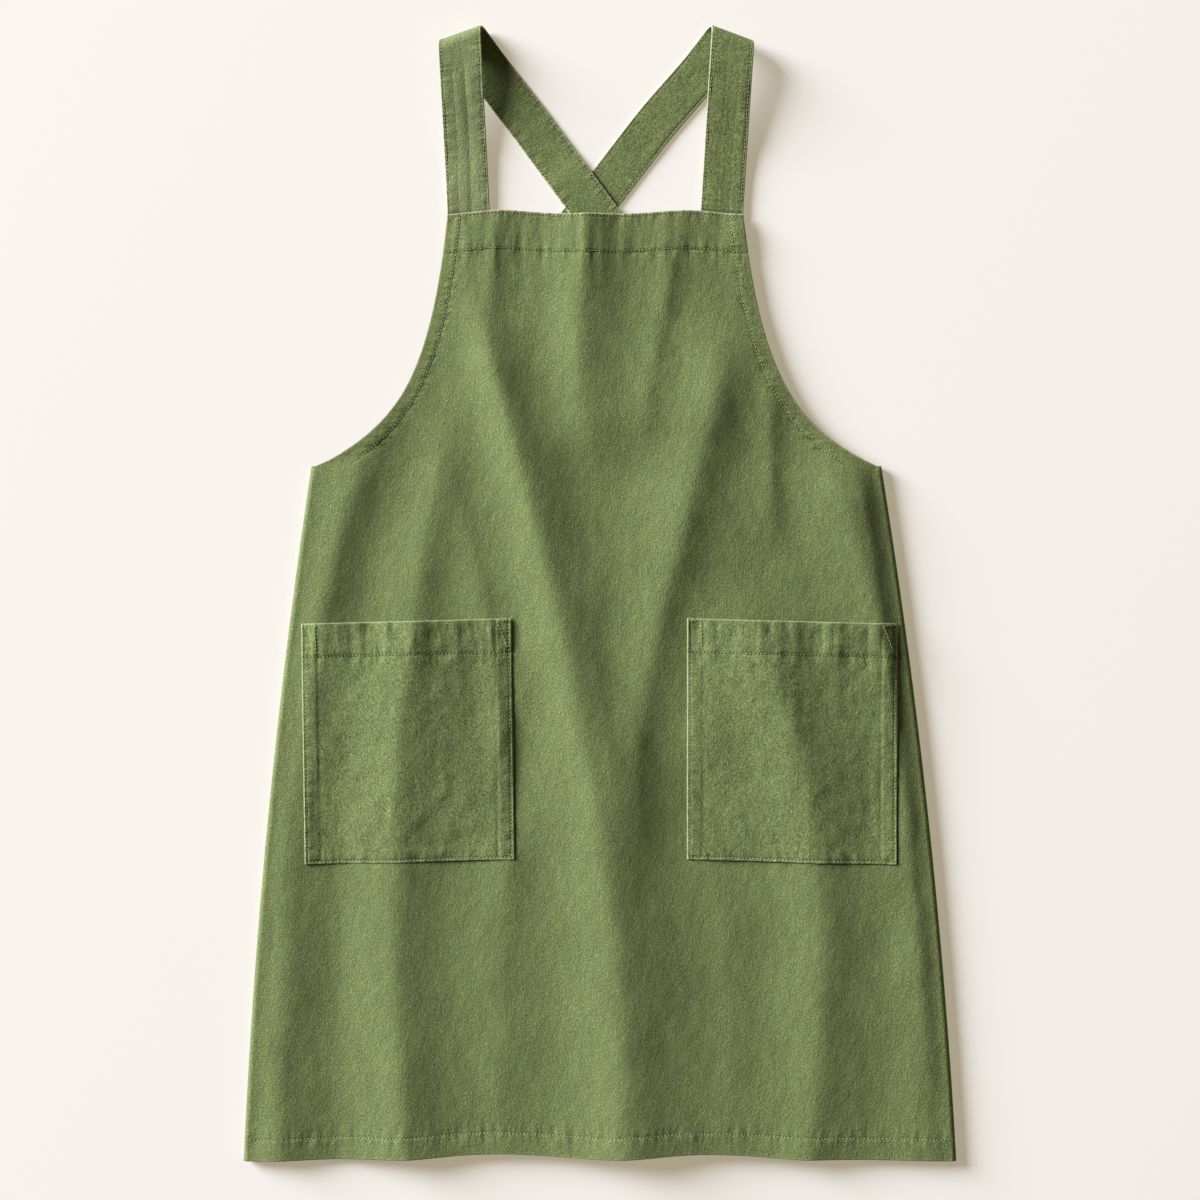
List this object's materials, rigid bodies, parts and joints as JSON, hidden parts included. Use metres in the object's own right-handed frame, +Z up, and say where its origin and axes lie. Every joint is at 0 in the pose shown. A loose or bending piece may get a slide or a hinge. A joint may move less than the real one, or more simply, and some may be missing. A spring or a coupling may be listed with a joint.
{
  "type": "cross back apron",
  "caption": "Cross back work apron in washed canvas, lying flat, with patch pockets and straps that cross behind the bib.",
  "frame": {"origin": "bottom centre of the whole apron as it lies on its back panels, strap loops included", "axes": "+Y from the hem towards the strap loops, +Z up out of the front, +X to the right as the front is seen from above"},
  "size_m": [0.664, 1.0568, 0.021],
  "materials": {
    "canvas_body": "matte",
    "canvas_facing": "matte",
    "canvas_pocket": "matte",
    "canvas_strap": "matte"
  },
  "bodies": {
    "root": {"apron_body": "canvas_body", "bib_facing": "canvas_facing", "hem_facing": "canvas_facing", "armhole_facing_left": "canvas_facing", "armhole_facing_right": "canvas_facing", "pocket_left": "canvas_pocket", "pocket_right": "canvas_pocket", "strap_left": "canvas_strap", "strap_right": "canvas_strap"}
  },
  "joints": []
}
